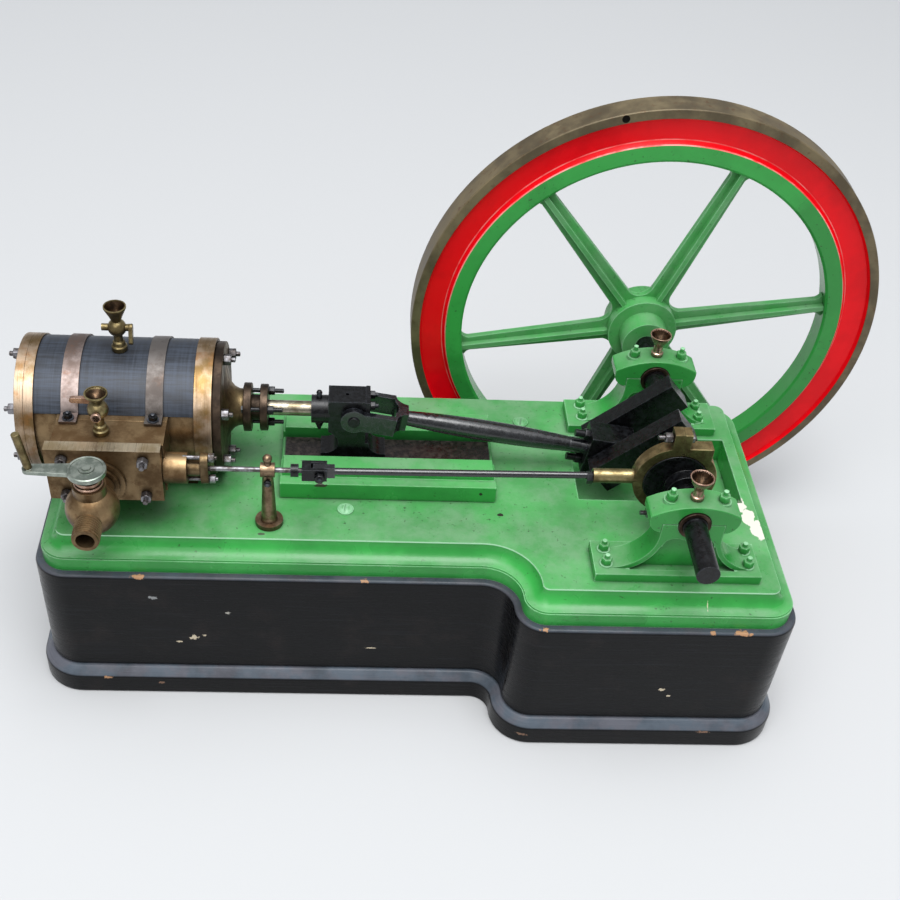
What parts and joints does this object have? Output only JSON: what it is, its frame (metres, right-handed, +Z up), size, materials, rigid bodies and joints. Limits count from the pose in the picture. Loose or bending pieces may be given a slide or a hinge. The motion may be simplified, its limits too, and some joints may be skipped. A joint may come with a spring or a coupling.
{
  "type": "model stationary steam engine",
  "caption": "Model horizontal steam engine on a black wooden plinth, with a lagged cylinder, open motion work, eccentric-driven valve gear and a spoked flywheel.",
  "frame": {"origin": "on the underside of the base board, below the crankshaft's axis and on the cylinder's centre line", "axes": "+X along the engine from the cylinder towards the crankshaft, +Y from the steam chest towards the flywheel, +Z up"},
  "size_m": [0.5248, 0.256, 0.305],
  "materials": {
    "band": "dull bronze strip",
    "black_steel": "black steel",
    "brass": "aged brass",
    "bright_steel": "bright steel",
    "bush_bronze": "dark bronze",
    "copper": "coppery bronze",
    "dark_gunmetal": "darkened, oily gunmetal",
    "green_casting": "green enamel on cast iron",
    "gunmetal": "aged gunmetal",
    "lagging": "blue-black sheet lagging",
    "lever_plate": "grey-green steel plate with a brass handle",
    "plinth_wood": "black gloss paint on wood, chipped at the rims",
    "rod_steel": "oiled piston rod",
    "slide_steel": "oiled, browned machined iron",
    "wheel": "green enamel with red panels and a bare tread"
  },
  "bodies": {
    "frame": {"base_board": "plinth_wood", "plinth_walls": "plinth_wood", "bed_plate": "green_casting", "slide_guide": "green_casting", "slideway": "slide_steel", "cylinder_body": "gunmetal", "lagging": "lagging", "lagging_band_left": "band", "lagging_band_right": "band", "back_cover": "gunmetal", "front_cover": "dark_gunmetal", "piston_gland": "dark_gunmetal", "steam_chest": "gunmetal", "chest_cover": "gunmetal", "valve_gland": "gunmetal", "stop_valve_body": "gunmetal", "cylinder_oil_cup": "brass", "chest_oil_cup": "brass", "valve_rod_guide": "brass", "near_pedestal": "green_casting", "near_cap": "green_casting", "near_bush": "bush_bronze", "near_oil_cup": "copper", "far_pedestal": "green_casting", "far_cap": "green_casting", "far_bush": "bush_bronze", "far_oil_cup": "copper"},
    "crank": {"crankshaft": "black_steel", "flywheel": "wheel", "eccentric_sheave": "black_steel"},
    "crosshead": {"piston_rod": "rod_steel", "crosshead": "black_steel", "crosshead_pin": "black_steel"},
    "rod": {"connecting_rod": "black_steel", "big_end": "black_steel"},
    "valve": {"valve_rod": "bright_steel"},
    "eccentric": {"eccentric_strap": "brass", "eccentric_cap": "brass", "eccentric_rod": "black_steel"},
    "stop_lever": {"stop_valve_lever": "lever_plate"},
    "cylinder_tap": {"cylinder_oil_tap": "brass"},
    "chest_tap": {"chest_oil_tap": "copper"}
  },
  "joints": [
    {"name": "crank_turn", "type": "hinge", "parent": "frame", "child": "crank", "pos_m": [0, 0, 0.155], "axis": [0, 1, 0], "range_deg": [-10, 10]},
    {"name": "crosshead_slide", "type": "slide", "parent": "frame", "child": "crosshead", "axis": [1, 0, 0], "range_m": [-0.0055, 0.0055]},
    {"name": "rod_swing", "type": "hinge", "parent": "crosshead", "child": "rod", "pos_m": [-0.18627, 0, 0.155], "axis": [0, 1, 0], "range_deg": [-2, 2]},
    {"name": "valve_slide", "type": "slide", "parent": "frame", "child": "valve", "axis": [1, 0, 0], "range_m": [-0.00045, 0.00045]},
    {"name": "eccentric_rod_swing", "type": "hinge", "parent": "valve", "child": "eccentric", "pos_m": [-0.205, -0.056, 0.155], "axis": [0, 1, 0], "range_deg": [-0.3, 0.3]},
    {"name": "stop_valve_turn", "type": "hinge", "parent": "frame", "child": "stop_lever", "pos_m": [-0.326, -0.087, 0.178], "axis": [0, 0, 1], "range_deg": [0, 90]},
    {"name": "cylinder_tap_turn", "type": "hinge", "parent": "frame", "child": "cylinder_tap", "pos_m": [-0.319, 0, 0.20825], "axis": [1, 0, 0], "range_deg": [0, 90]},
    {"name": "chest_tap_turn", "type": "hinge", "parent": "frame", "child": "chest_tap", "pos_m": [-0.3245, -0.049, 0.189], "axis": [0, 1, 0], "range_deg": [0, 90]}
  ],
  "couplings": [
    {"joint": "crosshead_slide", "follows": "crank_turn", "m_per_rad": -0.031048},
    {"joint": "rod_swing", "follows": "crank_turn", "ratio": -0.19516},
    {"joint": "valve_slide", "follows": "crank_turn", "m_per_rad": 0.0023103},
    {"joint": "eccentric_rod_swing", "follows": "crank_turn", "ratio": -0.027894}
  ]
}
